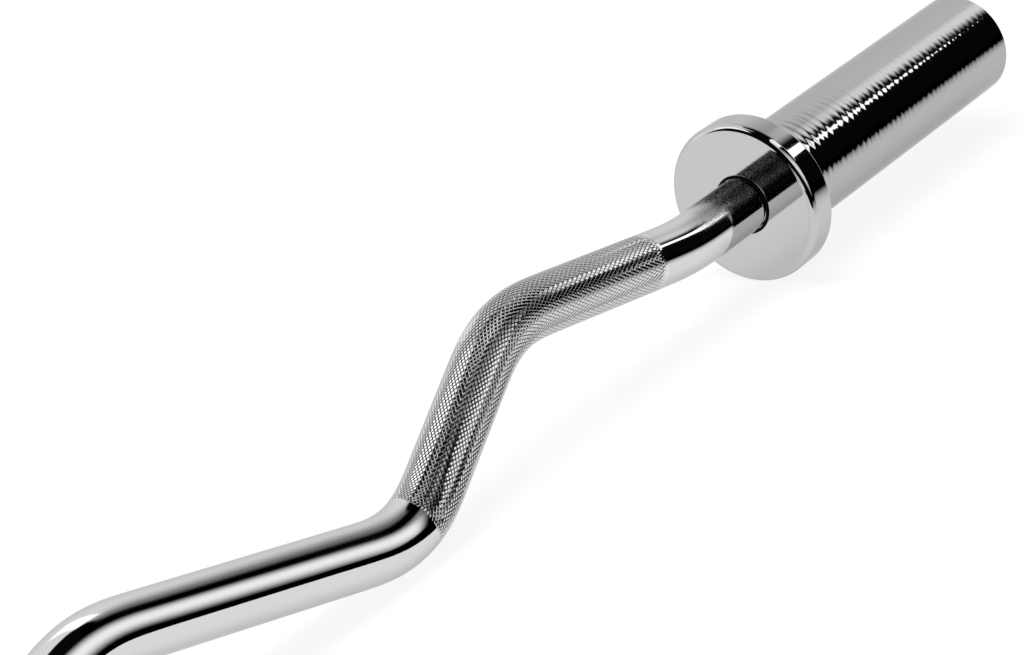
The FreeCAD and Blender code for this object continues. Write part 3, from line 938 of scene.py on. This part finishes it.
def bend_flag(name, low_x, low_z, high_x, high_z):
    """A black flag beside the valley bend, by the x of its two lower and its two upper corners."""
    corners = [(low_x[0], low_z), (low_x[1], low_z), (high_x[1], high_z), (high_x[0], high_z)]
    card(name, [(x, BEND_FLAG_Y, z) for x, z in corners], 0.0, fades=(0.55, 0, 0, 0))


bend_flag("low_bend_flag", (0.155, 0.170), -0.020, (0.1645, 0.180), 0.007)
bend_flag("high_bend_flag", (0.1645, 0.180), 0.007, (0.190, 0.206), 0.043)

# White paper all round, which gives less light than it shows, and one wide lamp overhead that stays out of
# the mirrors
FILL_LIGHT = 0.5
LAMP_PLACE = (0.2, 0.3, 1.8)
LAMP_LENGTH, LAMP_WIDTH = 1.6, 1.2
LAMP_WATTS = 30
world = bpy.data.worlds.new("white_studio")
bpy.context.scene.world = world
world.use_nodes = True
tree = world.node_tree
rays = add_node(tree, "ShaderNodeLightPath").outputs
direct = add_node(tree, "ShaderNodeMath", {"operation": "MAXIMUM"},
                  _0=rays["Is Camera Ray"], _1=rays["Is Glossy Ray"])
shown = add_node(tree, "ShaderNodeMath", {"operation": "MAXIMUM"},
                 _0=direct.outputs[0], _1=rays["Is Transmission Ray"])
level = add_node(tree, "ShaderNodeMapRange", Value=shown.outputs[0], To__Min=FILL_LIGHT, To__Max=1.0)
sky = tree.nodes["Background"]
sky.inputs["Color"].default_value = grey(1)
tree.links.new(level.outputs["Result"], sky.inputs["Strength"])

lamp_data = bpy.data.lights.new("overhead_softbox", "AREA")
lamp_data.shape = "RECTANGLE"
lamp_data.size = LAMP_LENGTH
lamp_data.size_y = LAMP_WIDTH
lamp_data.energy = LAMP_WATTS
lamp = bpy.data.objects.new("overhead_softbox", lamp_data)
lamp.location = LAMP_PLACE
lamp.rotation_euler = (-Vector(LAMP_PLACE)).to_track_quat("-Z", "Y").to_euler()
lamp.visible_glossy = False
bpy.context.collection.objects.link(lamp)


# The camera stands low, in front of the bar's left end, and looks along the bar. It is tilted to the left,
# so the sleeve rises to the upper right of the picture.
CAMERA_PLACE = (-0.51808, -0.70081, 0.44301)
CAMERA_AIM = (0.67843, 0.62782, -0.38155)
CAMERA_UP = (0.42624, 0.08664, 0.90045)
SENSOR_WIDTH = 36.0
FOCAL_LENGTH = 99.88
camera_data = bpy.data.cameras.new("camera")
camera_data.sensor_width = SENSOR_WIDTH
camera_data.lens = FOCAL_LENGTH
camera = bpy.data.objects.new("camera", camera_data)
bpy.context.collection.objects.link(camera)
back = -Vector(CAMERA_AIM).normalized()
right = Vector(CAMERA_UP).cross(back).normalized()
turn = Matrix((right, back.cross(right), back)).transposed()
camera.matrix_world = Matrix.Translation(CAMERA_PLACE) @ turn.to_4x4()
scene = bpy.context.scene
scene.camera = camera
scene.view_settings.view_transform = "Standard"
